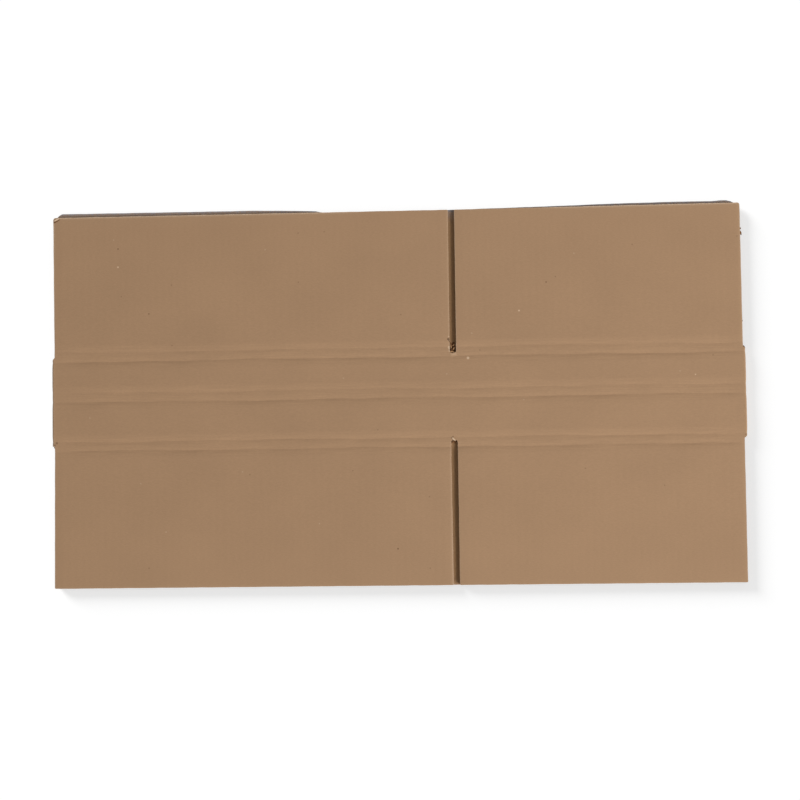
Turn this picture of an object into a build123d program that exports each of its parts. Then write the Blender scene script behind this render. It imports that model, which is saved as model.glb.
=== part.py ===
"""A flattened shipping carton: one slotted sheet of corrugated board, glued into a tube and folded flat.

The sheet lies as two layers. The upper layer shows the long panel on the left and the short panel on the
right, the lower layer the other two panels the other way round. Every panel has an open flap at the top
and at the bottom. X runs along the flattened length, Y from the bottom flaps to the top flaps, Z up.
"""

import os

from build123d import *

# Panels, from score to score
long_panel = 350.0
short_panel = 250.0
body_height = 78.0
middle_score_drop = 35.5

# Flaps and the slots between them
flap_length = 123.0
slot_width = 5.4
slot_bite = 1.4
flap_inset = 2.2

# Upper layer's top edge: the short flap's rises towards the fold, and both corners at the folds are worn
short_flap_rise = 1.0
worn_corner = 2.4

# Corrugated board
board = 3.0
liner = 0.35
flute_pitch = 6.5
flute_web = 0.65
edge_notch_depth = 2.0
edge_notch_mouth = 1.8

# Pressed score line: two valleys beside a low bead
score_width = 21.0
score_valley_spacing = 8.0
score_valley_depth = 0.8
score_bead_depth = 0.35

# Folded edges at the left and the right
layer_gap = 1.2
fold_radius = 2.8
fold_wall = 2.0

# Glued joint in the lower layer
tab_width = 35.0
tab_thickness = 1.0
tab_taper = 7.0
tab_root = 5.0
seam_gap = 3.0
seam_bend = 2.0

# Lower layer's top flaps, which stand out past the upper ones and fall back towards the slot between them
lower_reach = 3.9
lower_left_fall = 2.7
lower_left_knee_fall = 0.5
lower_left_knee_run = 67.0
lower_right_fall = 4.9
lower_corner = 5.0

# Run of every cut past the faces it opens
overrun = 1.0

# Places that follow from the sizes above
flat_length = long_panel + short_panel
thickness = 2 * board + layer_gap
upper_z = board + layer_gap
left_x = -flat_length / 2
right_x = flat_length / 2
upper_corner_x = left_x + long_panel
lower_corner_x = left_x + short_panel
body_y = -lower_reach / 2
top_score_y = body_y + body_height / 2
bottom_score_y = body_y - body_height / 2
middle_score_y = top_score_y - middle_score_drop
top_y = top_score_y + flap_length
crushed_run = score_width / 2
flute_height = board - 2 * liner
flute_open_share = (flute_pitch - flute_web) / flute_pitch

# The two spans of flaps in each layer, each from its left side to its right side
upper_left_span = (left_x + flap_inset, upper_corner_x - slot_width / 2)
upper_right_span = (upper_corner_x + slot_width / 2, right_x - flap_inset)
lower_left_span = (left_x + flap_inset, lower_corner_x - slot_width / 2)
lower_right_span = (lower_corner_x + slot_width / 2, right_x - flap_inset)


def flute_cells(width):
    """Open the rows of flutes and the two side notches in the section of a flap."""
    side_margin = edge_notch_depth + flute_web
    count = int((width - 2 * side_margin) / flute_pitch)
    half_base = flute_pitch * flute_open_share / 2
    floor_z = -flute_height / 2
    apex_z = floor_z + flute_height * flute_open_share
    with GridLocations(flute_pitch, flute_pitch, count, 1):
        Polygon((-half_base, floor_z), (half_base, floor_z), (0, apex_z), mode=Mode.SUBTRACT)
    with GridLocations(flute_pitch, flute_pitch, count - 1, 1):
        Polygon((-half_base, -floor_z), (0, -apex_z), (half_base, -floor_z), mode=Mode.SUBTRACT)
    for side in (-1, 1):
        Polygon(
            (side * (width / 2 + overrun), -edge_notch_mouth / 2),
            (side * (width / 2 + overrun), edge_notch_mouth / 2),
            (side * (width / 2 - edge_notch_depth), 0),
            mode=Mode.SUBTRACT,
        )


def section_plane(span, layer_z, y, side):
    """Return the plane of a flap's section at y, facing away from the body."""
    centre = Vector((span[0] + span[1]) / 2, y, layer_z + board / 2)
    return Plane(centre, x_dir=(1, 0, 0), z_dir=(0, side, 0))


def crushed_strip(span, layer_z, score_y, side):
    """Add the strip beside a flap's score, where the press has crushed the flutes shut."""
    with BuildSketch(section_plane(span, layer_z, score_y, side)) as strip:
        Rectangle(span[1] - span[0], board)
    extrude(strip.sketch, amount=crushed_run)


def fluted_board(span, layer_z, score_y, side, length):
    """Add the rest of a flap, with open flutes that run out to its cut edge."""
    width = span[1] - span[0]
    with BuildSketch(section_plane(span, layer_z, score_y + side * crushed_run, side)) as section:
        Rectangle(width, board)
        flute_cells(width)
    extrude(section.sketch, amount=length - crushed_run)


def press_score(score_y, face_z, inwards):
    """Press one score line across the part, into the face at face_z."""
    near_y = score_y - score_width / 2
    far_y = score_y + score_width / 2
    valley_run = score_valley_spacing / 2
    valley_z = face_z + inwards * score_valley_depth
    bead = (score_y, face_z + inwards * score_bead_depth)
    with BuildSketch(Plane.YZ) as groove:
        with BuildLine():
            ThreePointArc((near_y, face_z), (score_y - valley_run, valley_z), bead)
            ThreePointArc(bead, (score_y + valley_run, valley_z), (far_y, face_z))
            Polyline(
                (far_y, face_z),
                (far_y, face_z - inwards * overrun),
                (near_y, face_z - inwards * overrun),
                (near_y, face_z),
            )
        make_face()
    extrude(groove.sketch, amount=flat_length / 2 + overrun, both=True, mode=Mode.SUBTRACT)


def trim_top_edge(layer_z, edge_y, outer_x, corner, falls):
    """Cut a flap's top edge down through its falls, with the corner by the fold taken off."""
    inner_x, last_fall = falls[-1]
    inward = 1 if inner_x > outer_x else -1
    with BuildSketch(Plane.XY.offset(layer_z)) as offcut:
        Polygon(
            (outer_x - inward * overrun, edge_y - corner),
            (outer_x, edge_y - corner),
            (outer_x + inward * corner, edge_y),
            *[(x, edge_y - fall) for x, fall in falls],
            (inner_x + inward * overrun, edge_y - last_fall),
            (inner_x + inward * overrun, edge_y + overrun),
            (outer_x - inward * overrun, edge_y + overrun),
        )
    extrude(offcut.sketch, amount=board, mode=Mode.SUBTRACT)


# Folded tube: both body layers, the two folded edges, the glued joint and the lower layer's flaps
with BuildPart() as folded_tube:
    with BuildSketch(Plane.XZ.offset(-top_score_y)):
        with Locations((0, thickness / 2)):
            RectangleRounded(flat_length, thickness, fold_radius)
            SlotOverall(flat_length - 2 * fold_wall, layer_gap, mode=Mode.SUBTRACT)
    extrude(amount=body_height)

    # The tab runs left from the long panel's corner, inside the short panel that it is glued to
    seam_left_x = lower_corner_x - seam_gap / 2
    seam_right_x = lower_corner_x + seam_gap / 2
    with BuildSketch(Plane.XZ.offset(-top_score_y)):
        Polygon(
            (seam_left_x, -overrun),
            (seam_left_x, board),
            (seam_right_x, board),
            (seam_right_x + seam_bend, 0),
            (seam_right_x + seam_bend, -overrun),
        )
    extrude(amount=body_height, mode=Mode.SUBTRACT)
    with BuildSketch(Plane.XY.offset(board)):
        Polygon(
            (seam_right_x + tab_root, bottom_score_y),
            (seam_right_x + tab_root, top_score_y),
            (seam_left_x, top_score_y),
            (seam_left_x - tab_width, top_score_y - tab_taper),
            (seam_left_x - tab_width, bottom_score_y + tab_taper),
            (seam_left_x, bottom_score_y),
        )
    extrude(amount=tab_thickness)

    lower_spans = (lower_left_span, lower_right_span)
    for span in lower_spans:
        crushed_strip(span, 0, top_score_y, 1)
        crushed_strip(span, 0, bottom_score_y, -1)
    for score_y in (top_score_y, middle_score_y, bottom_score_y):
        press_score(score_y, thickness, -1)
        press_score(score_y, 0, 1)
    for span in lower_spans:
        fluted_board(span, 0, top_score_y, 1, flap_length + lower_reach)
        fluted_board(span, 0, bottom_score_y, -1, flap_length)
    left_knee_x = lower_left_span[1] - lower_left_knee_run
    left_falls = [(left_knee_x, lower_left_knee_fall), (lower_left_span[1], lower_left_fall)]
    right_falls = [(lower_right_span[0], lower_right_fall)]
    lower_top_y = top_y + lower_reach
    trim_top_edge(0, lower_top_y, lower_left_span[0], lower_corner, left_falls)
    trim_top_edge(0, lower_top_y, lower_right_span[1], lower_corner, right_falls)

    # The slots between the upper flaps bite a little way into the body, with round ends
    with BuildSketch(Plane.XY.offset(upper_z)):
        with Locations((upper_corner_x, top_score_y), (upper_corner_x, bottom_score_y)):
            Ellipse(slot_width / 2, slot_bite)
    extrude(amount=board, mode=Mode.SUBTRACT)

# Upper layer's four flaps, each hinged on the body at its score
with BuildPart() as top_long_flap:
    crushed_strip(upper_left_span, upper_z, top_score_y, 1)
    press_score(top_score_y, thickness, -1)
    fluted_board(upper_left_span, upper_z, top_score_y, 1, flap_length)
    trim_top_edge(upper_z, top_y, upper_left_span[0], worn_corner, [(upper_left_span[1], 0)])

with BuildPart() as top_short_flap:
    crushed_strip(upper_right_span, upper_z, top_score_y, 1)
    press_score(top_score_y, thickness, -1)
    fluted_board(upper_right_span, upper_z, top_score_y, 1, flap_length + short_flap_rise)
    risen_y = top_y + short_flap_rise
    slot_side = [(upper_right_span[0], short_flap_rise)]
    trim_top_edge(upper_z, risen_y, upper_right_span[1], worn_corner, slot_side)

with BuildPart() as bottom_long_flap:
    crushed_strip(upper_left_span, upper_z, bottom_score_y, -1)
    press_score(bottom_score_y, thickness, -1)
    fluted_board(upper_left_span, upper_z, bottom_score_y, -1, flap_length)

with BuildPart() as bottom_short_flap:
    crushed_strip(upper_right_span, upper_z, bottom_score_y, -1)
    press_score(bottom_score_y, thickness, -1)
    fluted_board(upper_right_span, upper_z, bottom_score_y, -1, flap_length)

folded_tube.part.label = "folded_tube"
top_long_flap.part.label = "top_long_flap"
top_short_flap.part.label = "top_short_flap"
bottom_long_flap.part.label = "bottom_long_flap"
bottom_short_flap.part.label = "bottom_short_flap"

os.makedirs("parts", exist_ok=True)
export_step(folded_tube.part, "parts/folded_tube.step")
export_step(top_long_flap.part, "parts/top_long_flap.step")
export_step(top_short_flap.part, "parts/top_short_flap.step")
export_step(bottom_long_flap.part, "parts/bottom_long_flap.step")
export_step(bottom_short_flap.part, "parts/bottom_short_flap.step")
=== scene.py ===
"""Looks of a flattened shipping carton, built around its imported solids.

The carton is one slotted sheet of corrugated kraft board, glued into a tube and folded flat. A sleeve
of board goes round both body layers, and eight flaps with open flutes carry on from its score lines,
four in each layer. Lengths are in metres: X along the carton, Y from the bottom flaps to the top ones,
Z up.
"""

import logging
import math
from dataclasses import dataclass
from enum import Enum
from typing import Callable

import bpy
import numpy as np
from mathutils import Euler, Matrix, Vector


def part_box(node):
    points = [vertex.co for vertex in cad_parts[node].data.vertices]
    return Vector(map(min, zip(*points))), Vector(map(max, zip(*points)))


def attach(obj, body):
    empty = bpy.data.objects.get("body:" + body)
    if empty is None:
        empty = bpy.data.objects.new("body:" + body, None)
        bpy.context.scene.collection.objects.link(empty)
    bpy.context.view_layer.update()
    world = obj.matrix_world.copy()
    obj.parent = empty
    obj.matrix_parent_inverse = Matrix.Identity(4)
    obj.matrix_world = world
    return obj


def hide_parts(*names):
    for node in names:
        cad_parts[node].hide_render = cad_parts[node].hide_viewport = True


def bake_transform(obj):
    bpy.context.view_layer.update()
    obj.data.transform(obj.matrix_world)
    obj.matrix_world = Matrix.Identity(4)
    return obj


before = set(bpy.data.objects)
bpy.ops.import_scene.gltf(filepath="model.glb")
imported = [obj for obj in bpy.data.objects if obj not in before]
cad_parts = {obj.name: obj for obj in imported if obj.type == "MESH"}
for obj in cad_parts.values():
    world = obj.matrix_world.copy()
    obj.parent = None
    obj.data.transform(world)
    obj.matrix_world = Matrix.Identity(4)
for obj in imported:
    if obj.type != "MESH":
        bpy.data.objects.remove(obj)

MM = 0.001
BASE_BODY = "folded_tube"
LOG = logging.getLogger("carton")

Array = np.ndarray
Triple = tuple[float, float, float]
Span = tuple[float, float]
Piece = bpy.types.Object
Socket = bpy.types.NodeSocket
Papers = list[bpy.types.Material]
Feeds = dict[int | str, Socket | float | tuple[float, ...]]

SMOOTH_ANGLE = math.radians(35)


class Layer(Enum):
    """The two layers of the folded sheet."""

    UPPER = "upper"
    LOWER = "lower"


class End(Enum):
    """The end of the carton that a flap is on, as its sign along Y."""

    TOP = 1
    BOTTOM = -1


class Paper(Enum):
    """The paper on a face, as its material's place in a piece."""

    OUTSIDE = 0
    INSIDE = 1
    CUT = 2
    # Dark scrap paper in the colour kraft takes deep in shade: painted shade
    CRUSHED = 3
    TORN = 4


def from_screen(red: int, green: int, blue: int) -> Triple:
    """Turn a colour as seen on a screen, 0 to 255, into linear light."""
    shares = [value / 255 for value in (red, green, blue)]
    return tuple(((share + 0.055) / 1.055) ** 2.4 for share in shares)


def smooth_step(share: Array) -> Array:
    """Ease a share from 0 to 1 with a level start and end."""
    share = np.clip(share, 0, 1)
    return share * share * (3 - 2 * share)


def graded(start: float, end: float, step: float) -> Array:
    """Spread places from start to end, crowded at both ends where the board is cut.

    Args:
        start: First place.
        end: Last place, higher than the first.
        step: Widest step between places.

    Returns:
        The places, rising.
    """
    margin = np.array([0, 0.35, 0.8, 1.5, 2.6]) * MM
    count = max(2, math.ceil((end - start - 2 * margin[-1]) / step))
    inner = np.linspace(start + margin[-1], end - margin[-1], count + 1)[1:-1]
    return np.concatenate([start + margin, inner, (end - margin)[::-1]])


@dataclass(frozen=True)
class Board:
    """Single-wall corrugated board."""

    thickness: float = 3.0 * MM  # over both liners
    liner: float = 0.35 * MM
    fluting: float = 0.28 * MM  # the fluting's paper
    pitch: float = 6.5 * MM  # from flute to flute
    points_per_flute: int = 8
    crush: float = 0.2 * MM  # how far a liner is pressed in at a cut edge
    crush_run: float = 1.3 * MM  # how far from the edge that goes
    crush_start: float = 8 * MM  # how far from a score it has grown full
    bedding: float = 0.45  # share of its paper by which the fluting stops short of a liner


@dataclass(frozen=True)
class Layout:
    """Places of the carton's parts, read from the frame."""

    half_length: float  # from the middle to a folded edge
    height: float  # over both layers
    top_score: float  # Y of the top flaps' score
    middle_score: float
    bottom_score: float
    top_edge: float  # Y of the upper layer's top edge
    risen_edge: float  # Y that it rises to at the right, on the short flap
    bottom_edge: float
    lower_edge: float  # Y of the lower layer's top edge
    long_span: Span  # X of the upper layer's long flaps
    short_span: Span  # X of its short flaps

    @classmethod
    def from_frame(cls, middle_drop: float = 35.5 * MM) -> "Layout":
        """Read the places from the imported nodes.

        Args:
            middle_drop: From the top score down to the middle one.

        Returns:
            The layout.
        """
        long_low, long_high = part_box("top_long_flap")
        short_low, short_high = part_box("top_short_flap")
        bottom_low, bottom_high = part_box("bottom_long_flap")
        tube_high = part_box(BASE_BODY)[1]
        return cls(
            half_length=tube_high.x,
            height=tube_high.z,
            top_score=long_low.y,
            middle_score=long_low.y - middle_drop,
            bottom_score=bottom_high.y,
            top_edge=long_high.y,
            risen_edge=short_high.y,
            bottom_edge=bottom_low.y,
            lower_edge=tube_high.y,
            long_span=(long_low.x, long_high.x),
            short_span=(short_low.x, short_high.x),
        )

    def score(self, end: End) -> float:
        """Return Y of the score at one end."""
        return self.top_score if end is End.TOP else self.bottom_score

    def reach(self, end: End) -> float:
        """Return an upper flap's length at one end."""
        edge = self.top_edge if end is End.TOP else self.bottom_edge
        return abs(edge - self.score(end))

    def turned_over(self) -> Matrix:
        """Return the half turn about Y that swaps the two layers."""
        return Matrix.Translation((0, 0, self.height)) @ Matrix.Rotation(math.pi, 4, "Y")


@dataclass(frozen=True)
class Wander:
    """A smooth, seeded wander along the carton."""

    seed: int
    wavelengths: tuple[float, ...] = (0.23, 0.104, 0.049, 0.023)
    gain: float = 1.6

    def at(self, x: Array) -> Array:
        """Follow the wander.

        Args:
            x: Places along the carton.

        Returns:
            The wander there, about -1 to 1.
        """
        phases = np.random.default_rng(self.seed).uniform(0, 2 * math.pi, len(self.wavelengths))
        weights = np.sqrt(self.wavelengths)
        waves = [
            weight * np.sin(2 * math.pi * x / length + phase)
            for weight, length, phase in zip(weights, self.wavelengths, phases)
        ]
        return sum(waves) / weights.sum() * self.gain


@dataclass(frozen=True)
class ScoreLine:
    """One pressed score: two valleys beside a low bead, as uneven as the press leaves them."""

    y: float  # middle of the score
    half_length: float  # from the carton's middle to a folded edge
    seed: int  # picks its unevenness
    depths: Span  # the two valleys' depths, from the top end down
    offset: float = 4.0 * MM  # from the middle to each valley
    flank: float = 1.85 * MM  # width of a valley's sides
    bottom: float = 0.45 * MM  # roundness of a valley's bottom
    trough: float = 0.36 * MM  # depth of the wide trough under both
    half_width: float = 10.5 * MM  # from the middle to the flat board
    wobble: float = 0.55 * MM  # how far a valley strays
    strength: Span = (0.86, 0.26)  # mean strength of the press, and how much it wanders
    onset: float = 2.2  # how steeply the press sets in at its sides
    fade_run: float = 26 * MM  # how far from a folded edge the score starts to fade
    faded: float = 0.35  # share of the press that is left at the edge

    def depth(self, x: Array, y: Array) -> Array:
        """Return how deep the board is pressed.

        Args:
            x: Places along the score.
            y: Places across it.

        Returns:
            The depths, 0 on flat board.
        """
        down = self.y - y
        mean, swing = self.strength
        pressed = self.trough * np.exp(-((down / (0.6 * self.half_width)) ** 2))
        for number, (side, depth) in enumerate(zip((-1, 1), self.depths)):
            stray = self.wobble * Wander(self.seed + number).at(x)
            strength = mean + swing * Wander(self.seed + 10 + number).at(x)
            across = np.hypot(down - side * self.offset - stray, self.bottom) - self.bottom
            pressed = pressed + depth * strength * np.exp(-across / self.flank)
        return pressed * self.pressed(x, y)

    def pressed(self, x: Array, y: Array) -> Array:
        """Return how much of the press a place felt.

        Args:
            x: Places along the score.
            y: Places across it.

        Returns:
            Shares, 0 on flat board.
        """
        window = np.clip(1 - ((self.y - y) / self.half_width) ** 2, 0, 1)
        from_fold = smooth_step((self.half_length - np.abs(x)) / self.fade_run)
        fade = self.faded + (1 - self.faded) * from_fold
        return smooth_step(self.onset * window) * fade


@dataclass(frozen=True)
class Relief:
    """The pressed relief of one layer's outer face."""

    layout: Layout
    seed: int  # picks the layer's unevenness

    def scores(self) -> list[ScoreLine]:
        """List the layer's three scores, from the top.

        Returns:
            The scores.
        """
        places = self.layout
        pressed = (
            (places.top_score, (0.56 * MM, 0.88 * MM)),
            (places.middle_score, (0.5 * MM, 0.78 * MM)),
            (places.bottom_score, (0.74 * MM, 0.74 * MM)),
        )
        return [
            ScoreLine(y, places.half_length, self.seed + 30 * number, depths)
            for number, (y, depths) in enumerate(pressed)
        ]

    def depth(self, x: Array, y: Array) -> Array:
        """Return how far the outer face lies below the flat board."""
        return sum(score.depth(x, y) for score in self.scores())

    def pressed(self, x: Array, y: Array) -> Array:
        """Return how much of a press the places felt, 0 to 1."""
        return sum(score.pressed(x, y) for score in self.scores())


class NodeBench:
    """Puts shader nodes in a material or a world and links them."""

    def __init__(self, owner: bpy.types.Material | bpy.types.World) -> None:
        """Empty the owner's tree and keep it.

        Args:
            owner: What the nodes are for.
        """
        owner.use_nodes = True
        self.tree = owner.node_tree
        self.tree.nodes.clear()

    def add(self, kind: str, feeds: Feeds | None = None, **settings: object) -> bpy.types.NodeOutputs:
        """Add a node and feed its inputs.

        Args:
            kind: The node's type without its prefix.
            feeds: The output or the plain value that each input gets, by the input's name or number.
            settings: The node's properties by name.

        Returns:
            The node's outputs.
        """
        node = self.tree.nodes.new("ShaderNode" + kind)
        for name, value in settings.items():
            setattr(node, name, value)
        for place, feed in (feeds or {}).items():
            if isinstance(feed, Socket):
                self.tree.links.new(feed, node.inputs[place])
            else:
                node.inputs[place].default_value = feed
        return node.outputs

    def rest_place(self, scale: Triple) -> Socket:
        """Return the place on the carton at rest, scaled."""
        place = self.add("Attribute", attribute_name="rest")["Vector"]
        return self.add("VectorMath", {0: place, 1: scale}, operation="MULTIPLY")["Vector"]

    def mask(self, name: str) -> Socket:
        """Return one of the piece's own masks, 0 to 1."""
        return self.add("Attribute", attribute_name=name)["Fac"]

    def noise(self, scale: Triple, detail: float) -> Socket:
        """Return noise of so many cells to the metre along each axis, 0 to 1."""
        feeds = {"Vector": self.rest_place(scale), "Scale": 1, "Detail": detail}
        return self.add("TexNoise", feeds)["Fac"]

    def remap(self, value: Socket, source: Span, target: Span) -> Socket:
        """Return a value with its low and high ends mapped onto others, clamped."""
        return self.add("MapRange", dict(enumerate((value, *source, *target))), clamp=True)[0]

    def math(self, operation: str, first: Socket, second: Socket | float) -> Socket:
        """Return the result of one sum."""
        return self.add("Math", {0: first, 1: second}, operation=operation)[0]

    def mix(self, share: Socket, first: Socket, second: Triple) -> Socket:
        """Return a colour with a share of a second one mixed in."""
        return self.add("Mix", {"Factor": share, 6: first, 7: (*second, 1)}, data_type="RGBA")[2]


@dataclass(frozen=True)
class Speck:
    """One speck in the paper of the upper face, in millimetres."""

    x: float
    y: float
    radius: float  # where it ends
    colour: Triple  # linear
    strength: float = 0.75  # how strongly it shows


PALE, DARK = from_screen(222, 194, 164), from_screen(96, 70, 46)
SPECKS = (
    Speck(-241.4, 115.5, 0.9, PALE),
    Speck(107.4, 71.1, 1.0, PALE),
    Speck(62.9, 31.0, 1.5, PALE),
    Speck(257.0, 13.6, 0.9, PALE, 0.6),
    Speck(49.0, 34.3, 1.5, PALE, 0.16),
    Speck(50.7, 34.4, 1.5, PALE, 0.2),
    Speck(52.4, 34.5, 1.5, PALE, 0.16),
    Speck(-241.3, 131.5, 0.9, DARK),
    Speck(-214.4, 74.0, 0.9, DARK),
    Speck(131.1, 95.4, 0.9, DARK),
    Speck(0.3, -132.3, 1.0, DARK),
    Speck(48.9, -36.6, 1.0, DARK, 0.6),
    Speck(46.1, 47.5, 1.3, DARK, 1.0),
    Speck(46.7, 46.4, 1.0, DARK, 0.9),
    Speck(47.2, 45.5, 0.9, DARK, 0.8),
    Speck(-296.0, -37.6, 1.4, DARK, 0.55),
    Speck(-297.8, -39.4, 1.2, DARK, 0.55),
    Speck(298.8, -38.3, 1.3, DARK, 0.35),
    Speck(46.4, 49.7, 0.8, PALE, 0.5),
    Speck(46.5, 40.6, 1.2, PALE, 0.6),
    Speck(46.7, 39.4, 1.1, PALE, 0.6),
    Speck(46.9, 37.3, 0.9, PALE, 0.5),
)

# Scales of the paper's noises, in cells to the metre along each axis
CLOUD_SCALE = (15, 19, 19)
FIBRE_SCALE = (420, 1300, 1300)
STREAK_SCALE = (36, 900, 0)
RUB_SCALE = (900, 900, 900)
FLECK_SCALE = (45, 45, 45)

# Values of the noises that show at their weakest and at their strongest
NOISE_BAND = (0.3, 0.7)
FIBRE_BAND = (0.25, 0.75)
RUB_BAND = (0.35, 0.65)

LEAST_RUB = 0.4  # share of the pale edge mix, rubbed wear and painted light alike, that shows where it is weakest
SPECK_CORE = 0.4  # share of a speck's radius that shows in full
SPECK_DEPTH = 0.3 * MM  # how far a speck's middle lies under the flat upper face
FLECK_EDGE = (0.02, 0.035)  # where a fleck starts to fade and where it ends, in cells

# Two kinds of fleck: a shift of the scatter, the colour and the share of cells that stay bare
FLECK_KINDS = ((0.0, (0.55, 0.40, 0.27), 0.95), (3.7, (0.15, 0.085, 0.045), 0.94))


@dataclass(frozen=True)
class KraftFinish:
    """Kraft paper: long fibres, soft clouds, stray flecks, painted sheen along the scores, and pale
    edges, some rubbed and some painted light.
    """

    name: str
    colour: Triple  # mean colour, linear
    rubbed: Triple = from_screen(232, 208, 182)  # colour of the pale edges, linear: rubbed wear, and painted light where shaded edges are lifted
    cloud: float = 0.03  # how much the clouds change the colour
    fibre: float = 0.05  # how much the fibres change it
    flecks: float = 0.4  # how strongly flecks show
    burnish_and_sheen: float = 0.02  # how much lighter the pressed bands are made: painted sheen and burnish
    streaks: float = 0.045  # how strongly streaks of painted sheen show in the pressed bands
    roughness: float = 0.82
    shine: float = 0.25  # specular level
    relief: float = 0.03 * MM  # height of the paper's own relief
    washboard: float = 0.008 * MM  # height of the flutes that show through
    height: float = 0.0  # Z of the face that the specks are on
    specks: tuple[Speck, ...] = ()  # single specks that show in the photograph

    def material(self) -> bpy.types.Material:
        """Make the material.

        Returns:
            The material.
        """
        made = bpy.data.materials.new(self.name)
        bench = NodeBench(made)
        fibres = bench.noise(FIBRE_SCALE, 3)
        feeds = {
            "Base Color": self._colour(bench, fibres),
            "Roughness": self.roughness,
            "Specular IOR Level": self.shine,
            "Normal": self._relief(bench, fibres),
        }
        bench.add("OutputMaterial", {"Surface": bench.add("BsdfPrincipled", feeds)[0]})
        return made

    def _colour(self, bench: NodeBench, fibres: Socket) -> Socket:
        """Lay the clouds, fibres, the scores' painted sheen and streaks, flecks, specks and pale edges,
        rubbed and painted light, over the mean colour.

        Args:
            bench: Where the nodes go.
            fibres: The fibres' noise.

        Returns:
            The colour.
        """
        clouds = bench.remap(bench.noise(CLOUD_SCALE, 3), NOISE_BAND, (1 - self.cloud, 1 + self.cloud))
        grain = bench.remap(fibres, FIBRE_BAND, (1 - self.fibre, 1 + self.fibre))
        pressed = bench.mask("pressed")
        streaks = bench.remap(bench.noise(STREAK_SCALE, 2), NOISE_BAND, (-self.streaks, self.streaks))
        # Painted sheen, with burnish: the pressed bands are made lighter and streaked.
        sheen = bench.remap(pressed, (0, 1), (1, 1 + self.burnish_and_sheen))
        sheen = bench.math("ADD", sheen, bench.math("MULTIPLY", streaks, pressed))
        grain = bench.math("MULTIPLY", grain, sheen)
        tone = {0: self.colour, "Scale": bench.math("MULTIPLY", clouds, grain)}
        colour = bench.add("VectorMath", tone, operation="SCALE")["Vector"]
        for shift, fleck_colour, gate in FLECK_KINDS:
            colour = bench.mix(self._flecks(bench, shift, gate), colour, fleck_colour)
        place = bench.rest_place((1, 1, 1))
        for speck in self.specks:
            colour = bench.mix(self._speck(bench, place, speck), colour, speck.colour)
        # Pale edges: rubbed wear, and painted light where the mask lifts a shaded edge.
        ragged = bench.remap(bench.noise(RUB_SCALE, 2), RUB_BAND, (LEAST_RUB, 1))
        return bench.mix(bench.math("MULTIPLY", bench.mask("wear"), ragged), colour, self.rubbed)

    def _speck(self, bench: NodeBench, place: Socket, speck: Speck) -> Socket:
        """Mask one speck.

        Args:
            bench: Where the nodes go.
            place: The place on the carton at rest.
            speck: The speck.

        Returns:
            The mask.
        """
        ends = {0: place, 1: (speck.x * MM, speck.y * MM, self.height)}
        distance = bench.add("VectorMath", ends, operation="DISTANCE")["Value"]
        radius = speck.radius * MM
        return bench.remap(distance, (SPECK_CORE * radius, radius), (speck.strength, 0))

    def _flecks(self, bench: NodeBench, shift: float, gate: float) -> Socket:
        """Scatter a few flecks.

        Args:
            bench: Where the nodes go.
            shift: Moves the scatter, so that two kinds of fleck differ.
            gate: Share of the cells that stay bare.

        Returns:
            The flecks' mask.
        """
        places = {0: bench.rest_place(FLECK_SCALE), 1: (shift, shift, 0)}
        place = bench.add("VectorMath", places, operation="ADD")["Vector"]
        cells = bench.add("TexVoronoi", {"Vector": place, "Scale": 1}, voronoi_dimensions="2D")
        spot = bench.remap(cells["Distance"], FLECK_EDGE, (self.flecks, 0))
        draw = bench.add("SeparateColor", {0: cells["Color"]})[0]
        return bench.math("MULTIPLY", spot, bench.math("GREATER_THAN", draw, gate))

    def _relief(self, bench: NodeBench, fibres: Socket) -> Socket:
        """Raise the fibres and let the flutes show through a little.

        Args:
            bench: Where the nodes go.
            fibres: The fibres' noise.

        Returns:
            The surface's normal.
        """
        turns = bench.rest_place((2 * math.pi / Board.pitch, 0, 0))
        flutes = bench.math("SINE", bench.add("SeparateXYZ", {0: turns})[0], 0.0)
        wave = bench.math("MULTIPLY", flutes, self.washboard)
        height = bench.math("ADD", wave, bench.math("MULTIPLY", fibres, self.relief))
        return bench.add("Bump", {"Strength": 1, "Distance": 1, "Height": height})["Normal"]


def make_papers(height: float) -> Papers:
    """Make the carton's papers.

    Args:
        height: Z of the carton's upper face.

    Returns:
        The papers, in the order of their places in a piece.
    """
    face = height - SPECK_DEPTH
    plain = {"flecks": 0.0, "washboard": 0.0}
    # The inside paper's pale edge colour is a cool grey that paints light onto the lower layer's shaded
    # strip beyond the top edge, as well as showing its rubbing.
    inside = {"rubbed": from_screen(146, 151, 162), "cloud": 0.04, "fibre": 0.07, "flecks": 0.3}
    finishes = (
        KraftFinish("kraft_outside", from_screen(164, 131, 100), height=face, specks=SPECKS),
        KraftFinish("kraft_inside", from_screen(168, 131, 93), **inside),
        KraftFinish("kraft_cut", from_screen(166, 138, 111), fibre=0.16, **plain),
        # Dark scrap paper with the colour of kraft deep in shade: painted shade
        KraftFinish("kraft_crushed", from_screen(112, 76, 44), fibre=0.2, **plain),
        KraftFinish("kraft_torn", from_screen(208, 180, 150), fibre=0.1, **plain),
    )
    return [finish.material() for finish in finishes]


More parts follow.
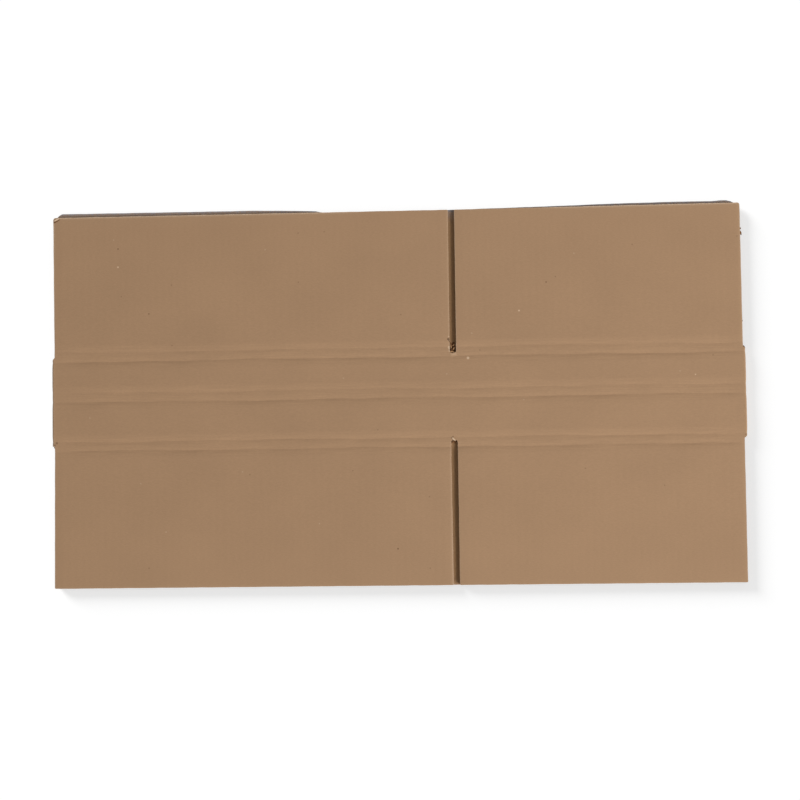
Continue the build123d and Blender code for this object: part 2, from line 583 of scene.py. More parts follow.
class Workbench:
    """Adds sheets of board and paper and works them with Blender's own operators."""

    @staticmethod
    def sheet(
        name: str, columns: int, rows: int, papers: Papers, form: Callable[[Array, Array], Array]
    ) -> Piece:
        """Add a flat blank and move its points to their places.

        Args:
            name: The sheet's name.
            columns: Places along it.
            rows: Places across it.
            papers: The papers that its faces choose from.
            form: Gives the places for columns and rows by number.

        Returns:
            The sheet.
        """
        bpy.ops.object.select_all(action="DESELECT")
        bpy.ops.mesh.primitive_grid_add(x_subdivisions=columns - 1, y_subdivisions=rows - 1, size=1)
        made = bpy.context.active_object
        made.name = made.data.name = name
        for paper in papers:
            made.data.materials.append(paper)
        flat = Workbench.points(made)
        column = np.rint((flat[:, 0] + 0.5) * (columns - 1)).astype(int)
        row = np.rint((flat[:, 1] + 0.5) * (rows - 1)).astype(int)
        made.data.vertices.foreach_set("co", form(column, row).ravel())
        made.data.update()
        return made

    @staticmethod
    def points(piece: Piece) -> Array:
        """Read a piece's points.

        Args:
            piece: The piece.

        Returns:
            The points, one row each.
        """
        flat = np.empty(3 * len(piece.data.vertices))
        piece.data.vertices.foreach_get("co", flat)
        return flat.reshape(-1, 3)

    @staticmethod
    def select(piece: Piece) -> None:
        """Select one piece alone.

        Args:
            piece: The piece.
        """
        bpy.ops.object.select_all(action="DESELECT")
        piece.select_set(True)
        bpy.context.view_layer.objects.active = piece

    @staticmethod
    def turn_faces(piece: Piece) -> None:
        """Turn all faces of a piece to their other side.

        Args:
            piece: The piece.
        """
        Workbench.select(piece)
        bpy.ops.object.mode_set(mode="EDIT")
        bpy.ops.mesh.select_all(action="SELECT")
        bpy.ops.mesh.flip_normals()
        bpy.ops.object.mode_set(mode="OBJECT")

    @staticmethod
    def thicken(
        piece: Piece, wall: float, offset: float, papers: list[Paper], walls: Array | None = None
    ) -> None:
        """Give a sheet its thickness.

        Args:
            piece: The sheet.
            wall: Its thickness.
            offset: Which side that goes to: -1 behind the faces, 0 on both sides.
            papers: The papers in front, behind and at the cut edges.
            walls: Each point's share of the thickness, if they differ.
        """
        Workbench.select(piece)
        front, behind, edge = (paper.value for paper in papers)
        solid = piece.modifiers.new("thickness", "SOLIDIFY")
        solid.thickness = wall
        solid.offset = offset
        solid.use_even_offset = False
        solid.material_offset = behind - front
        solid.material_offset_rim = edge - front
        if walls is not None:
            group = piece.vertex_groups.new(name="wall")
            for number, share in enumerate(walls):
                group.add([number], float(share), "REPLACE")
            solid.vertex_group = group.name
        for face in piece.data.polygons:
            face.material_index = front
        bpy.ops.object.modifier_apply(modifier=solid.name)
        piece.vertex_groups.clear()

    @staticmethod
    def join(name: str, parts: list[Piece]) -> Piece:
        """Join parts into one piece.

        Args:
            name: The piece's name.
            parts: Its parts.

        Returns:
            The piece.
        """
        Workbench.select(parts[0])
        for part in parts[1:]:
            part.select_set(True)
        bpy.ops.object.join()
        made = bpy.context.active_object
        made.name = made.data.name = name
        return made

    @staticmethod
    def finish(piece: Piece, wear: Array, pressed: Array) -> None:
        """Smooth a piece's faces and write the values that its papers read.

        Args:
            piece: The piece.
            wear: How pale each point's edge is made, by rubbing and by painted light, 0 to 1.
            pressed: How much of a press it felt, 0 to 1.
        """
        Workbench.select(piece)
        bpy.ops.object.material_slot_remove_unused()
        bpy.ops.object.shade_smooth_by_angle(angle=SMOOTH_ANGLE)
        mesh = piece.data
        rest = mesh.attributes.new("rest", "FLOAT_VECTOR", "POINT")
        rest.data.foreach_set("vector", Workbench.points(piece).ravel())
        # The wear mask holds rubbing and painted light alike.
        for name, values in (("wear", wear), ("pressed", pressed)):
            mask = mesh.attributes.new(name, "FLOAT", "POINT")
            mask.data.foreach_set("value", values.astype(np.float32))


@dataclass(frozen=True)
class FlapBoard:
    """One flap of corrugated board: two liners with the fluting between them.

    A lower flap is made as an upper one and then turned over about the carton's middle, so all its sizes
    are those of the upper layer.
    """

    name: str
    layout: Layout
    relief: Relief  # the pressed relief of its layer
    papers: Papers
    span: Span  # its sides along X
    end: End
    layer: Layer
    edge: tuple[Span, ...]  # X and length at places along its outer edge
    corners: Span  # its two outer corners, rounded in the upper layer and cut off in the lower
    strays: tuple[Span, Span] = ((0.0, 0.0), (0.0, 0.0))  # of its two sides, at the score and the edge
    board: Board = Board()
    sag: float = 0.0  # how far its outer edge hangs
    seed: int = 0  # picks the unevenness of its cut edges
    raggedness: float = 0.16 * MM  # how uneven they are
    ragged_waves: tuple[float, ...] = (0.031, 0.013, 0.0058)
    ragged_run: float = 2 * MM  # how far in that goes
    least_ragged: float = 0.2  # share of it that is everywhere
    rub_and_light_run: float = 3.0 * MM  # how far in from its outer edge it is made pale: rubbed, and on a lower flap painted light on its shaded strip
    side_rub: Span = (0.3, 0.5 * MM)  # how rubbed its sides are, and how far in
    top_rub_and_light: float = 1.0  # how pale the outer edge is made at the top: rubbed, and on a lower flap painted light
    bottom_rub: float = 0.15
    least_rub: float = 0.2  # share of the rub by the slot
    bare_run: Span = (60 * MM, 50 * MM)  # how far from the slot it starts to grow, and for how long
    pressed_run: float = 11 * MM  # from the score to the plain board
    pressed_step: float = 0.5 * MM  # step between rows up to there
    column_step: float = 4.2 * MM
    row_step: float = 9 * MM
    flute_row_step: float = 40 * MM
    flute_row_skip: int = 4  # rows of a liner to one of the fluting, in the pressed board

    def build(self) -> Piece:
        """Make the flap at rest, dressed.

        Returns:
            The flap.
        """
        parts = [self._liner(Paper.OUTSIDE), self._fluting(), self._liner(Paper.INSIDE)]
        piece = Workbench.join(self.name, parts)
        places = Workbench.points(piece)
        if self.layer is Layer.LOWER:
            piece.data.transform(self.layout.turned_over())
        Workbench.finish(piece, self._wear(places), self.relief.pressed(places[:, 0], places[:, 1]))
        return piece

    def _wear(self, places: Array) -> Array:
        """Rub the flap most at a top edge, towards the corners, and a little at the sides; paint light
        on a lower flap's shaded top edge.

        Args:
            places: Points of the flap.

        Returns:
            How pale they are made, by rubbing and by painted light, 0 to 1.
        """
        x, y = places[:, 0], places[:, 1]
        share = self.top_rub_and_light if self.end is End.TOP else self.bottom_rub
        if self.layer is Layer.UPPER:
            slot = (self.layout.long_span[1] + self.layout.short_span[0]) / 2
            grown = smooth_step((np.abs(x - slot) - self.bare_run[0]) / self.bare_run[1])
            share = share * (self.least_rub + (1 - self.least_rub) * grown)
        to_edge = np.maximum(self._length(x) - self._out(y), 0)
        to_side = np.maximum(np.minimum(x - self.span[0], self.span[1] - x), 0)
        at_sides = self.side_rub[0] * np.exp(-to_side / self.side_rub[1])
        return np.maximum(share * np.exp(-to_edge / self.rub_and_light_run), at_sides)

    def columns(self) -> Array:
        """Return the places along the flap."""
        return graded(*self.span, self.column_step)

    def _rows(self) -> Array:
        """Spread the rows, closest in the pressed board.

        Returns:
            The places out from the score.
        """
        pressed = np.arange(0, self.pressed_run, self.pressed_step)
        plain = graded(self.pressed_run, self._reach(), self.row_step)
        return np.concatenate([pressed, plain])

    def _length(self, x: Array) -> Array:
        """Return the flap's length at x."""
        return np.interp(x, [place[0] for place in self.edge], [place[1] for place in self.edge])

    def _reach(self) -> float:
        """Return the flap's longest length."""
        return max(length for _, length in self.edge)

    def _out(self, y: Array) -> Array:
        """Return how far out from the score places are."""
        return (y - self.layout.score(self.end)) * self.end.value

    def _plan(self, x: Array, out: Array) -> tuple[Array, Array]:
        """Place points of the flat blank in the flap's plan.

        Args:
            x: Places along the flap.
            out: Places out from the score, on the longest side.

        Returns:
            Their X and Y.
        """
        length = self._length(x)
        share = (out - self.pressed_run) / (self._reach() - self.pressed_run)
        out = np.where(share > 0, self.pressed_run + share * (length - self.pressed_run), out)
        for side, size in zip((0, 1), self.corners):
            inwards = 1 - 2 * side
            along = 1 - (x - self.span[side]) * inwards / size
            across = 1 - (length - out) / size
            inside = (along > 0) & (across > 0)
            along, across = np.clip(along, 0, 1), np.clip(across, 0, 1)
            if self.layer is Layer.UPPER:
                trimmed = along * np.sqrt(1 - 0.5 * across**2), across * np.sqrt(1 - 0.5 * along**2)
            else:
                trimmed = along * (1 - 0.5 * across), across * (1 - 0.5 * along)
            x = np.where(inside, self.span[side] + inwards * size * (1 - trimmed[0]), x)
            out = np.where(inside, length - size * (1 - trimmed[1]), out)
        return self._ragged(x, out, length)

    def _ragged(self, x: Array, out: Array, length: Array) -> tuple[Array, Array]:
        """Take the cut edges in a little, unevenly, as a blunt knife leaves them.

        Args:
            x: Places along the flap.
            out: Places out from the score.
            length: The flap's length at each.

        Returns:
            Their X and Y.
        """
        across = (x - self.span[0]) / (self.span[1] - self.span[0])
        left, right = (root + (edge - root) * out / length for root, edge in self.strays)
        taken = []
        for number, along in enumerate((out, out, x)):
            uneven = 0.5 + 0.5 * Wander(self.seed + number, self.ragged_waves).at(along)
            taken.append(self.raggedness * np.clip(uneven, self.least_ragged, 1))
        fade = smooth_step(out / self.pressed_run)
        gaps = (x - self.span[0], self.span[1] - x, length - out)
        near = [np.exp(-gap / self.ragged_run) for gap in gaps]
        x = x + fade * (taken[0] * near[0] - taken[1] * near[1]) + (1 - across) * left + across * right
        return x, self.layout.score(self.end) + self.end.value * (out - taken[2] * near[2])

    def _faces(self, x: Array, y: Array) -> tuple[Array, Array]:
        """Return the heights of the flap's outer and inner faces.

        Args:
            x: Places along the carton.
            y: Places across it.

        Returns:
            Both heights.
        """
        out = self._out(y)
        to_cut = np.minimum(np.minimum(x - self.span[0], self.span[1] - x), self._length(x) - out)
        near_edge = np.exp(-np.maximum(to_cut, 0) / self.board.crush_run)
        crushed = self.board.crush * near_edge * smooth_step(out / self.board.crush_start)
        hang = self.sag * (out / self._reach()) ** 2
        outer = self.layout.height - self.relief.depth(x, y) - crushed - hang
        inner = self.layout.height - self.board.thickness + crushed - hang
        return outer, inner

    def _liner(self, paper: Paper) -> Piece:
        """Make one liner.

        Args:
            paper: Which of the two.

        Returns:
            The liner.
        """
        columns, rows = self.columns(), self._rows()

        def form(column: Array, row: Array) -> Array:
            """Place the liner's points."""
            x, y = self._plan(columns[column], rows[row])
            return np.stack([x, y, self._faces(x, y)[paper.value]], axis=1)

        name = f"{self.name}_{paper.name.lower()}"
        sheet = Workbench.sheet(name, len(columns), len(rows), self.papers, form)
        faces_down = (paper is Paper.INSIDE) != (self.end is End.BOTTOM)
        if faces_down:
            Workbench.turn_faces(sheet)
        Workbench.thicken(sheet, self.board.liner, -1, [paper, Paper.INSIDE, Paper.CUT])
        return sheet

    def _fluting(self) -> Piece:
        """Make the fluting, pressed flat where the liners are.

        Returns:
            The fluting.
        """
        board = self.board
        count = round((self.span[1] - self.span[0]) / board.pitch * board.points_per_flute)
        columns = np.linspace(*self.span, count + 1)
        rows = self._rows()
        pressed = rows[rows < self.pressed_run][:: self.flute_row_skip]
        plain = graded(self.pressed_run, self._reach(), self.flute_row_step)
        rows = np.concatenate([pressed, plain])

        def form(column: Array, row: Array) -> Array:
            """Place the fluting's points.

            Args:
                column: Their columns, by number.
                row: Their rows.

            Returns:
                The places.
            """
            x, y = self._plan(columns[column], rows[row])
            outer, inner = self._faces(x, y)
            middle = (outer + inner) / 2
            swing = (outer - inner) / 2 - board.liner - board.bedding * board.fluting
            wave = np.sin(2 * math.pi * columns[column] / board.pitch)
            return np.stack([x, y, middle + swing * wave], axis=1)

        sheet = Workbench.sheet(f"{self.name}_fluting", len(columns), len(rows), self.papers, form)
        if self.end is End.BOTTOM:
            Workbench.turn_faces(sheet)
        Workbench.thicken(sheet, board.fluting, 0, [Paper.INSIDE, Paper.INSIDE, Paper.CUT])
        return sheet


@dataclass(frozen=True)
class Sleeve:
    """The board round both body layers, from the seam's cut edge to the end of the glued tab."""

    layout: Layout
    upper: Relief  # relief of the upper layer
    lower: Relief  # relief of the lower layer, as seen when it is turned over
    papers: Papers
    long_columns: Array  # places along the upper layer's long flaps
    short_columns: Array  # places along its short flaps
    board: Board = Board()
    fold_radius: float = 1.4 * MM  # of the folded edges' outsides
    fold_steps: int = 7  # places round each quarter of a folded edge
    fold_margin: float = 0.3 * MM  # least step of the path beside it
    fold_wall: float = 0.45  # share of the board's thickness at a folded edge
    left_fold_painted_light: Span = (0.8, 0.7 * MM)  # painted light that lifts the shaded side of the left folded edge: how strong, and how far in
    slot_rub_run: float = 0.5 * MM  # how far in the slots' ends are rubbed
    tab_wall: float = 0.33  # share of the thickness in the glued tab
    tab_width: float = 35 * MM  # from the seam to the tab's end
    tab_taper: float = 7 * MM  # how far the tab's end is cut back at each side
    seam_left: float = -51.5 * MM  # X of the seam's cut edge
    seam_right: float = -46.5 * MM  # X where the board bends up into the tab
    seam_bend: float = 2.0 * MM  # how far that bend runs
    seam_margin: float = 0.2 * MM  # least step of the path beside the seam
    bend_places: int = 5  # places along the bend
    tab_places: int = 12  # places along the tab
    score_run: float = 11 * MM  # from a score to the plain board
    score_step: float = 0.55 * MM  # step between rows up to there
    row_step: float = 3 * MM
    # How far the slots are torn into the body, at even places across them, in millimetres
    top_bite: tuple[float, ...] = (0.0, 0.9, 1.3, 1.5, 1.7, 1.6, 1.5, 1.4, 1.2, 1.1, 1.0, 0.8, 0.0)
    bottom_bite: tuple[float, ...] = (0.0, 1.0, 1.3, 1.2, 1.1, 1.3, 1.4, 1.5, 1.3, 1.2, 1.3, 1.1, 0.0)
    # How much shorter the left and right folded edges are worn at each end, in millimetres
    top_wear: Span = (2.6, 1.4)
    bottom_wear: Span = (0.6, 1.8)
    bite_run: float = 2.6 * MM  # how far all that moves the board

    def build(self) -> Piece:
        """Make the sleeve, dressed.

        Returns:
            The sleeve.
        """
        path, rows = self._path(), self._rows()
        column_of: list[Array] = []

        def form(column: Array, row: Array) -> Array:
            """Place the sleeve's points."""
            column_of.append(column)
            return self._places(path[column], rows[row])

        sheet = Workbench.sheet("carton_sleeve", len(path), len(rows), self.papers, form)
        papers = [Paper.OUTSIDE, Paper.INSIDE, Paper.CUT]
        Workbench.thicken(sheet, self.board.thickness, -1, papers, path[column_of[0], 4])
        places = Workbench.points(sheet)
        Workbench.finish(sheet, self._wear(places), self.upper.pressed(places[:, 0], places[:, 1]))
        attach(sheet, BASE_BODY)
        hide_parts(BASE_BODY)
        return sheet

    def _rows(self) -> Array:
        """Spread the rows across the body, crowded at the scores.

        Returns:
            The places across.
        """
        places, run, fine, coarse = self.layout, self.score_run, self.score_step, self.row_step
        stops = [
            (places.bottom_score, places.bottom_score + run, fine),
            (places.bottom_score + run, places.middle_score - run, coarse),
            (places.middle_score - run, places.middle_score + run, fine),
            (places.middle_score + run, places.top_score - run, coarse),
            (places.top_score - run, places.top_score, fine),
        ]
        runs = [np.linspace(a, b, math.ceil((b - a) / step) + 1)[:-1] for a, b, step in stops]
        return np.concatenate([*runs, [places.top_score]])

    def _slot(self) -> Array:
        """Return even places across the upper layer's slots."""
        return np.linspace(self.layout.long_span[1], self.layout.short_span[0], len(self.top_bite))

    def _path(self) -> Array:
        """Follow the sheet round the carton.

        Returns:
            One row for each place: X, Z, the outward X and Z, the shares of the board's thickness and of
            the press that it has, and how far the tab has tapered.
        """
        flat = self.layout.half_length - self.fold_radius - self.fold_margin
        upper = np.concatenate([self.long_columns, self._slot()[1:-1], self.short_columns])
        upper = upper[np.abs(upper) < flat]
        lower = -upper
        left = lower[lower < self.seam_left - self.seam_margin]
        right = lower[lower > self.seam_right + self.seam_margin]
        rows = [(x, 0, 0, -1, 1, 1, 0) for x in (self.seam_left, *left)]
        rows += self._fold(-1)
        rows += [(x, self.layout.height, 0, 1, 1, 1, 0) for x in upper]
        rows += self._fold(1)[::-1]
        rows += [(x, 0, 0, -1, 1, 1, 0) for x in right]
        tab_start, tab_end = self.seam_right - self.seam_bend, self.seam_left - self.tab_width
        for share in np.linspace(0, 1, self.bend_places):
            x, z = self.seam_right - share * self.seam_bend, share * self.board.thickness
            rows.append((x, z, 0, -1, 1 + share * (self.tab_wall - 1), 1 - share, 0))
        for x in np.linspace(tab_start, tab_end, self.tab_places)[1:]:
            taper = max(0, (self.seam_left - x) / self.tab_width)
            rows.append((x, self.board.thickness, 0, -1, self.tab_wall, 0, taper))
        return np.array(rows)

    def _fold(self, side: int) -> list[tuple[float, ...]]:
        """Follow one folded edge from the lower layer to the upper one.

        Args:
            side: -1 for the left edge, 1 for the right one.

        Returns:
            Rows of the path.
        """
        half, height, radius = self.layout.half_length, self.layout.height, self.fold_radius
        rows = []
        for centre, start in ((radius, -90), (height - radius, 0)):
            for angle in np.radians(np.linspace(start, start + 90, self.fold_steps)):
                out, up = math.cos(angle), math.sin(angle)
                x = side * (half - radius + radius * out)
                rows.append((x, centre + radius * up, side * out, up, self.fold_wall, 1, 0))
        return rows

    def _places(self, path: Array, y: Array) -> Array:
        """Place points of the sheet, pressed in at the scores.

        Args:
            path: Their rows of the path.
            y: Their places across the body.

        Returns:
            The places.
        """
        x, z, out_x, out_z, _, press, taper = path.T
        above = z > self.layout.height / 2
        depth = np.where(above, self.upper.depth(x, y), self.lower.depth(-x, y)) * press
        middle = (self.layout.top_score + self.layout.bottom_score) / 2
        tall = self.layout.top_score - self.layout.bottom_score
        y = middle + (y - middle) * (1 - 2 * self.tab_taper / tall * taper)
        worn = above | (np.abs(x) > self.layout.short_span[1])
        y = np.where(worn, self._worn(x, y), y)
        return np.stack([x - depth * out_x, y, z - depth * out_z], axis=1)

    def _worn(self, x: Array, y: Array) -> Array:
        """Tear the slots a little way into the body and wear the ends of the folded edges.

        Args:
            x: Places along the carton.
            y: Places across it.

        Returns:
            The places across, moved.
        """
        half, side = self.layout.half_length, self.layout.short_span[1]
        along = [-half, -side, *self._slot(), side, half]
        top, bottom = (
            MM * np.interp(x, along, [wear[0], 0, *bite, 0, wear[1]])
            for wear, bite in ((self.top_wear, self.top_bite), (self.bottom_wear, self.bottom_bite))
        )
        top = top * np.exp((y - self.layout.top_score) / self.bite_run)
        return y - top + bottom * np.exp((self.layout.bottom_score - y) / self.bite_run)

    def _wear(self, places: Array) -> Array:
        """Rub the ends of the slots, and paint light on the shaded left folded edge.

        Args:
            places: Points of the sleeve.

        Returns:
            How pale they are made, by rubbing and by painted light, 0 to 1.
        """
        x, y = places[:, 0], places[:, 1]
        to_end = np.minimum(self.layout.top_score - y, y - self.layout.bottom_score)
        open_end = (x > self.layout.long_span[1]) & (x < self.layout.short_span[0])
        at_end = np.exp(-np.maximum(to_end, 0) / self.slot_rub_run) * open_end
        # Painted light on the left folded edge, whose side faces away from the key light.
        painted_lift, run = self.left_fold_painted_light
        return np.maximum(at_end, painted_lift * np.exp(-(x + self.layout.half_length) / run))


@dataclass(frozen=True)
class Scrap:
    """A scrap of torn paper, in millimetres and degrees; one thin dark scrap paints a shadow line
    instead.
    """

    place: Triple  # its middle
    length: float
    width: float
    turn: float  # which way it points, from +X
    lean: float  # how far it leans about its own length
    paper: Paper = Paper.CRUSHED  # what shows on it; by default the dark paper whose colour is painted shade


# Most of these scraps are in the dark paper whose colour is painted shade.
SLOT_SCRAPS = (
    Scrap((48.9, 40.4, 3.8), 6.6, 2.4, 82, 20),
    Scrap((51.3, 40.6, 4.1), 6.4, 2.2, 97, -24),
    Scrap((50.2, 38.2, 4.4), 4.4, 2.4, 6, 24),
    Scrap((49.9, 43.2, 3.6), 4.2, 2.0, 48, -20),
    Scrap((50.9, 39.7, 5.2), 2.6, 0.9, 60, 15, Paper.INSIDE),
    Scrap((48.3, 41.4, 5.0), 3.4, 0.9, 104, 20, Paper.INSIDE),
    Scrap((50.7, 42.6, 4.8), 2.4, 0.7, 40, 10, Paper.INSIDE),
    Scrap((49.5, 36.7, 5.6), 4.0, 1.2, -6, 25, Paper.INSIDE),
    Scrap((48.0, 44.1, 6.7), 4.4, 0.8, 120, 10),
    Scrap((49.6, -38.9, 7.0), 4.0, 1.3, -42, 4, Paper.TORN),
    Scrap((50.2, -41.0, 4.6), 4.6, 1.8, 8, 35),
    Scrap((298.9, 135.3, 2.5), 3.8, 1.7, 100, 12),
    Scrap((298.6, 139.2, 2.3), 1.5, 1.5, 20, 10),
    Scrap((298.3, 59.2, 2.2), 1.8, 1.4, 70, 15),
    Scrap((298.6, 36.9, 5.6), 3.0, 1.5, -48, 12),
    Scrap((-298.5, -41.4, 4.2), 2.0, 1.2, 95, 20),
)
CORNER_TEAR_AND_SHADOW_LINE = (
    # A thin dark strip that paints the shadow line under the worn corner's bent tip, and the pale torn
    # tip
    Scrap((-295.5, 156.9, 6.95), 5.6, 0.9, 30, 6),
    Scrap((-295.6, 158.2, 6.95), 4.4, 1.7, 27, 6, Paper.TORN),
)


@dataclass(frozen=True)
class TornPaper:
    """Fibres and flakes torn off where the board has been knocked, most in dark paper with painted
    shade, and a thin dark strip that paints a shadow line at a corner.
    """

    name: str
    body: str  # the body that it moves with
    scraps: tuple[Scrap, ...]
    papers: Papers
    height: float  # the carton's height, which no scrap passes
    columns: int = 9  # places along a scrap
    rows: int = 6
    wall: float = 0.14 * MM  # thickness of the torn paper
    jags: Triple = (0.05, 0.09, 0.1)  # raggedness along, across and up
    pinch: float = 2.4  # how fast it narrows to its ends
    curl: float = 0.5  # how much it curls up
    margin: float = 0.1  # least way from the floor and from the upper face, in millimetres
    seed: int = 900  # picks the raggedness

    def build(self) -> Piece:
        """Make all the scraps as one piece.

        Returns:
            The piece.
        """
        parts = [self._scrap(number, scrap) for number, scrap in enumerate(self.scraps)]
        piece = Workbench.join(self.name, parts)
        bare = np.zeros(len(piece.data.vertices))
        Workbench.finish(piece, bare, bare)
        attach(piece, self.body)
        return piece

    def _scrap(self, number: int, scrap: Scrap) -> Piece:
        """Tear one scrap.

        Args:
            number: Its number, which picks its raggedness.
            scrap: What it is.

        Returns:
            The scrap.
        """
        rough = np.random.default_rng(self.seed + number).uniform(-1, 1, (3, self.columns, self.rows))
        turn = Matrix.Rotation(math.radians(scrap.turn), 3, "Z")
        turn = np.array(turn @ Matrix.Rotation(math.radians(scrap.lean), 3, "X"))

        def form(column: Array, row: Array) -> Array:
            """Place the scrap's points.

            Args:
                column: Their columns, by number.
                row: Their rows.

            Returns:
                The places.
            """
            along, across = column / (self.columns - 1) - 0.5, row / (self.rows - 1) - 0.5
            jag = [share * rag for share, rag in zip(self.jags, rough[:, column, row])]
            x = scrap.length * (along + jag[0])
            y = scrap.width * (across * (1 - self.pinch * along**2) + jag[1])
            z = self.curl * scrap.width * (along**2 + across**2) + jag[2]
            places = np.stack([x, y, z], axis=1) @ turn.T + scrap.place
            places[:, 2] = np.clip(places[:, 2], self.margin, self.height / MM - self.margin)
            return places * MM

        piece = Workbench.sheet(f"scrap_{number}", self.columns, self.rows, self.papers, form)
        Workbench.thicken(piece, self.wall, 0, [scrap.paper] * 3)
        return piece


@dataclass(frozen=True)
class Studio:
    """The pale floor, a key light that spares it, a low light for its shadow, and the camera."""

    floor_size: float = 40
    floor_drop: float = 0.05 * MM  # how far the floor lies under the carton
    floor_grey: float = 0.5  # the floor's paint
    floor_glow: float = 0.657  # what it adds to look white
    room_light: float = 0.31  # from all round
    key_place: Triple = (3.9, -1.6, 3.0)
    key_size: float = 3.0
    key_power: float = 309
    low_ray: Triple = (1, -0.9, -0.44)  # the way of the light that draws the shadow
    low_power: float = 4.2
    low_spread: float = 26  # in degrees
    camera_place: Triple = (0.05472, -0.05336, 1.19367)
    camera_turn: Triple = (2.325, 2.493, -0.78)  # in degrees
    lens: float = 62
    sensor: float = 36

    def build(self) -> None:
        """Set up the studio, with colours shown as they are."""
        bpy.context.scene.view_settings.view_transform = "Standard"
        floor = self._floor()
        self._world()
        place, ray = Vector(self.key_place), Vector(self.low_ray)
        key = self._light("key", "AREA", place, -place, floor, "EXCLUDE")
        key.energy, key.size = self.key_power, self.key_size
        low = self._light("floor_light", "SUN", -ray, ray, floor, "INCLUDE")
        low.energy, low.angle = self.low_power, math.radians(self.low_spread)
        self._camera()

    @staticmethod
    def _seen(bench: NodeBench) -> Socket:
        """Tell the rays that show the background from those that light the carton.

        Args:
            bench: Where the nodes go.

        Returns:
            1 for rays that show it, 0 for the others.
        """
        path = bench.add("LightPath")
        seen = bench.math("MAXIMUM", path["Is Camera Ray"], path["Is Glossy Ray"])
        return bench.math("MAXIMUM", seen, path["Is Transmission Ray"])

    def _floor(self) -> Piece:
        """Lay a white floor that keeps the carton's shadow and can be seen through from below.

        Returns:
            The floor.
        """
        bpy.ops.object.select_all(action="DESELECT")
        bpy.ops.mesh.primitive_plane_add(size=self.floor_size, location=(0, 0, -self.floor_drop))
        floor = bpy.context.active_object
        floor.name = "floor"
        material = bpy.data.materials.new("white_floor")
        bench = NodeBench(material)
        paint = bench.add("BsdfDiffuse", {"Color": (*[self.floor_grey] * 3, 1)})[0]
        strength = bench.math("MULTIPLY", self._seen(bench), self.floor_glow)
        glow = bench.add("Emission", {"Strength": strength})[0]
        above = bench.add("AddShader", {0: paint, 1: glow})[0]
        below = bench.add("BsdfTransparent")[0]
        side = bench.add("NewGeometry")["Backfacing"]
        both = bench.add("MixShader", {0: side, 1: above, 2: below})[0]
        bench.add("OutputMaterial", {"Surface": both})
        floor.data.materials.append(material)
        return floor

    def _world(self) -> None:
        """Surround the carton with an even, dim light that looks white."""
        world = bpy.data.worlds.new("studio")
        bpy.context.scene.world = world
        bench = NodeBench(world)
        strength = bench.remap(self._seen(bench), (0, 1), (self.room_light, 1))
        glow = bench.add("Background", {"Color": (1, 1, 1, 1), "Strength": strength})[0]
        bench.add("OutputWorld", {"Surface": glow})

    @staticmethod
    def _light(
        name: str, kind: str, place: Vector, ray: Vector, floor: Piece, link: str
    ) -> bpy.types.Light:
        """Hang a light that spares the floor, or lights nothing else.

        Args:
            name: The light's name.
            kind: Its type.
            place: Where it hangs.
            ray: Which way it shines.
            floor: The floor.
            link: EXCLUDE to spare the floor, INCLUDE to light it alone.

        Returns:
            The light's settings.
        """
        bpy.ops.object.select_all(action="DESELECT")
        turn = ray.to_track_quat("-Z", "Y").to_euler()
        bpy.ops.object.light_add(type=kind, location=place, rotation=turn)
        light = bpy.context.active_object
        light.name = name
        linked = bpy.data.collections.new(f"{name}_link")
        linked.objects.link(floor)
        linked.collection_objects[0].light_linking.link_state = link
        light.light_linking.receiver_collection = linked
        return light.data

    def _camera(self) -> None:
        """Look down on the carton as the photograph does."""
        bpy.ops.object.select_all(action="DESELECT")
        turn = Euler([math.radians(angle) for angle in self.camera_turn])
        bpy.ops.object.camera_add(location=self.camera_place, rotation=turn)
        camera = bpy.context.active_object
        camera.name = "camera"
        camera.data.lens = self.lens
        camera.data.sensor_width = self.sensor
        bpy.context.scene.camera = camera


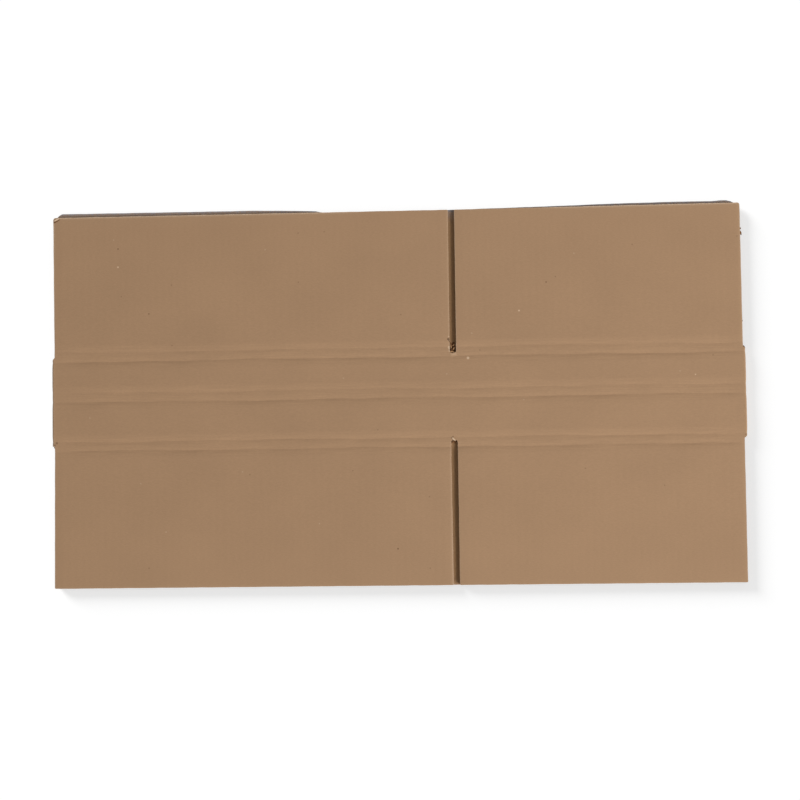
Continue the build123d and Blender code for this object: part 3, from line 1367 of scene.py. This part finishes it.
@dataclass(frozen=True)
class Carton:
    """The whole carton."""

    layout: Layout
    papers: Papers
    # Places along a lower top flap from its slot, and how far its edge falls there, in millimetres. The
    # long one has a dent and a knocked end by the fold.
    short_falls: tuple[Span, ...] = ((0, 3.9), (10, 3.3), (15, 2.2), (26, 1.6), (67, 0.5), (245, 0))
    long_falls: tuple[Span, ...] = (
        (0, 4.9), (195, 1.9), (237, 0.95), (299, 0.4), (315, 0.65),
        (324, 0.6), (328, 0), (335, 0), (340, 1.7),
    )
    corner: float = 1.0 * MM  # a flap's outer corner, as it was cut
    lower_corner: float = 5.0 * MM  # the one cut off the lower top flaps at the folded edges
    worn_corner: float = 2.4 * MM  # the worn one of the upper top flaps there
    sag: float = 0.35 * MM  # how far the upper flaps' outer edges hang
    upper_rub_run: float = 0.6 * MM  # how far in those are rubbed
    crease_run: float = 5.0 * MM  # how far from its score a flap's bend goes
    relief_seeds: tuple[int, int] = (11, 511)  # pick the unevenness of the upper and lower scores
    edge_seeds: tuple[int, int] = (100, 200)  # pick that of the upper and lower flaps' cut edges

    def build(self) -> list[Piece]:
        """Make every piece of the carton.

        Returns:
            The pieces.
        """
        upper, lower = (Relief(self.layout, seed) for seed in self.relief_seeds)
        flaps = self._upper_flaps(upper) + self._lower_flaps(lower)
        pieces = []
        for flap in flaps:
            piece = flap.build()
            self._fix(flap, piece)
            pieces.append(piece)
        sleeve = Sleeve(self.layout, upper, lower, self.papers, flaps[0].columns(), flaps[1].columns())
        pieces.append(sleeve.build())
        for name, body, scraps in (
            ("torn_slots", BASE_BODY, SLOT_SCRAPS),
            ("torn_corner", "top_long_flap", CORNER_TEAR_AND_SHADOW_LINE),
        ):
            pieces.append(TornPaper(name, body, scraps, self.papers, self.layout.height).build())
        return pieces

    def _upper_flaps(self, relief: Relief) -> list[FlapBoard]:
        """List the upper layer's flaps, long one first at each end.

        Args:
            relief: The layer's pressed relief.

        Returns:
            The flaps.
        """
        straight = (0.0, 0.0)
        strays = {
            "top_long": ((0.0, -0.9 * MM), straight),
            "top_short": (straight, straight),
            "bottom_long": ((0.1 * MM, -0.5 * MM), (0.0, 0.5 * MM)),
            "bottom_short": ((0.25 * MM, 0.25 * MM), (-0.3 * MM, -0.2 * MM)),
        }
        flaps = []
        for end in End:
            for kind, span in (("long", self.layout.long_span), ("short", self.layout.short_span)):
                name = f"{end.name.lower()}_{kind}"
                near = far = self.layout.reach(end)
                left = right = self.corner
                if name == "top_long":
                    left = self.worn_corner
                elif name == "top_short":
                    right, far = self.worn_corner, self.layout.risen_edge - self.layout.top_score
                flaps.append(
                    FlapBoard(
                        f"{name}_flap_board", self.layout, relief, self.papers, span, end, Layer.UPPER,
                        ((span[0], near), (span[1], far)), (left, right), strays[name],
                        sag=self.sag, seed=self.edge_seeds[0] + 10 * len(flaps),
                        rub_and_light_run=self.upper_rub_run,
                    )
                )
        return flaps

    def _lower_flaps(self, relief: Relief) -> list[FlapBoard]:
        """List the lower layer's flaps, as they are before they are turned over.

        Args:
            relief: The layer's pressed relief.

        Returns:
            The flaps.
        """
        long_span, short_span = self.layout.long_span, self.layout.short_span
        flaps = []
        for end in End:
            far, corner = self.layout.reach(end), self.corner
            long_edge, short_edge = (((low, far), (high, far)) for low, high in (long_span, short_span))
            if end is End.TOP:
                far, corner = self.layout.lower_edge - self.layout.top_score, self.lower_corner
                long_edge = tuple(
                    (long_span[1] - run * MM, far - fall * MM) for run, fall in self.long_falls[::-1]
                )
                short_edge = tuple(
                    (short_span[0] + run * MM, far - fall * MM) for run, fall in self.short_falls
                )
            for kind, span, edge, corners in (
                ("long", long_span, long_edge, (corner, self.corner)),
                ("short", short_span, short_edge, (self.corner, corner)),
            ):
                name = f"lower_{end.name.lower()}_{kind}_flap_board"
                flaps.append(
                    FlapBoard(
                        name, self.layout, relief, self.papers, span, end, Layer.LOWER, edge, corners,
                        seed=self.edge_seeds[1] + 10 * len(flaps),
                    )
                )
        return flaps

    def _fix(self, flap: FlapBoard, piece: Piece) -> None:
        """Tie a lower flap to the tube; bake an upper flap's place and hide the imported part that it
        replaces.

        Args:
            flap: What the flap is.
            piece: Its mesh.
        """
        if flap.layer is Layer.LOWER:
            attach(piece, BASE_BODY)
            return
        node = piece.name.removesuffix("_board")
        score = self.layout.score(flap.end)
        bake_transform(piece)
        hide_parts(node)


def main() -> None:
    """Build the carton and its studio."""
    logging.basicConfig(level=logging.INFO, format="%(message)s")
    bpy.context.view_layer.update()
    layout = Layout.from_frame()
    for piece in Carton(layout, make_papers(layout.height)).build():
        mesh = piece.data
        LOG.info("%s: %d points, %d faces", piece.name, len(mesh.vertices), len(mesh.polygons))
    Studio().build()


if __name__ == "__main__":
    main()
